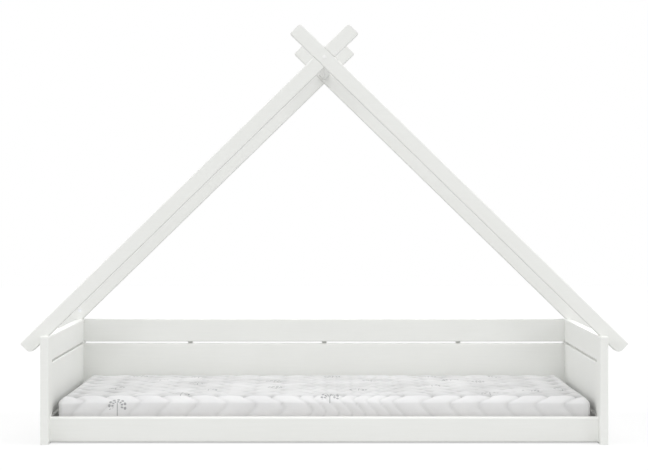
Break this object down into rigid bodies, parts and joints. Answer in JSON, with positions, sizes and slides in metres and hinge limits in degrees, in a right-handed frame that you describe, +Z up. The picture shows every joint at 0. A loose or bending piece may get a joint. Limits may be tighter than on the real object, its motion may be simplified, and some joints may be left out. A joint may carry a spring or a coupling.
{
  "type": "teepee bed",
  "caption": "Low children's floor bed with panelled ends and back, an open front, a loose mattress and two crossed-rafter frames joined by a ridge bar.",
  "frame": {"origin": "on the floor, under the middle of the bed", "axes": "+X along the bed to the right end seen from the open front, -Y out of the open front, +Z up"},
  "size_m": [2.2608, 1.1, 1.5566],
  "materials": {
    "white_lacquered_pine": "white lacquer, satin",
    "bare_pine": "planed, bare",
    "beech_dowel": "fluted, bare",
    "mattress_cover": "quilted knit, matt",
    "mattress_foam": "open-cell foam",
    "ribbon_webbing": "woven",
    "zinc_steel": "zinc plated",
    "cast_zinc": "cast, nickel plated",
    "white_cap": "moulded, satin"
  },
  "bodies": {
    "bed_frame": {"back_batten_centre": "white_lacquered_pine", "back_batten_left": "white_lacquered_pine", "back_batten_right": "white_lacquered_pine", "back_bottom_board": "white_lacquered_pine", "back_middle_board": "white_lacquered_pine", "back_top_board": "white_lacquered_pine", "barrel_nuts": "zinc_steel", "batten_screws": "zinc_steel", "corner_caps": "white_cap", "frame_bolts": "zinc_steel", "front_ledge": "bare_pine", "front_left_rafter": "white_lacquered_pine", "front_rail": "white_lacquered_pine", "front_right_rafter": "white_lacquered_pine", "ledge_screws": "zinc_steel", "left_bottom_board": "white_lacquered_pine", "left_front_post": "white_lacquered_pine", "left_middle_board": "white_lacquered_pine", "left_rear_post": "white_lacquered_pine", "left_top_board": "white_lacquered_pine", "panel_dowels": "beech_dowel", "rafter_cams": "cast_zinc", "rafter_dowels": "beech_dowel", "rafter_studs": "zinc_steel", "rear_ledge": "bare_pine", "rear_left_rafter": "white_lacquered_pine", "rear_right_rafter": "white_lacquered_pine", "ridge_bar": "white_lacquered_pine", "ridge_barrel_nuts": "zinc_steel", "ridge_bolt_caps": "white_cap", "ridge_bolts": "zinc_steel", "ridge_dowels": "beech_dowel", "right_bottom_board": "white_lacquered_pine", "right_front_post": "white_lacquered_pine", "right_middle_board": "white_lacquered_pine", "right_rear_post": "white_lacquered_pine", "right_top_board": "white_lacquered_pine", "slat_01": "bare_pine", "slat_02": "bare_pine", "slat_03": "bare_pine", "slat_04": "bare_pine", "slat_05": "bare_pine", "slat_06": "bare_pine", "slat_07": "bare_pine", "slat_08": "bare_pine", "slat_09": "bare_pine", "slat_10": "bare_pine", "slat_11": "bare_pine", "slat_12": "bare_pine", "slat_13": "bare_pine", "slat_14": "bare_pine", "slat_ribbon_front": "ribbon_webbing", "slat_ribbon_rear": "ribbon_webbing", "slat_screws": "zinc_steel"},
    "mattress": {"mattress_core": "mattress_foam", "mattress_cover": "mattress_cover"}
  },
  "joints": [
    {"name": "mattress_lift", "type": "slide", "parent": "bed_frame", "child": "mattress", "axis": [0, 0, 1], "range_m": [0, 0.4]}
  ]
}
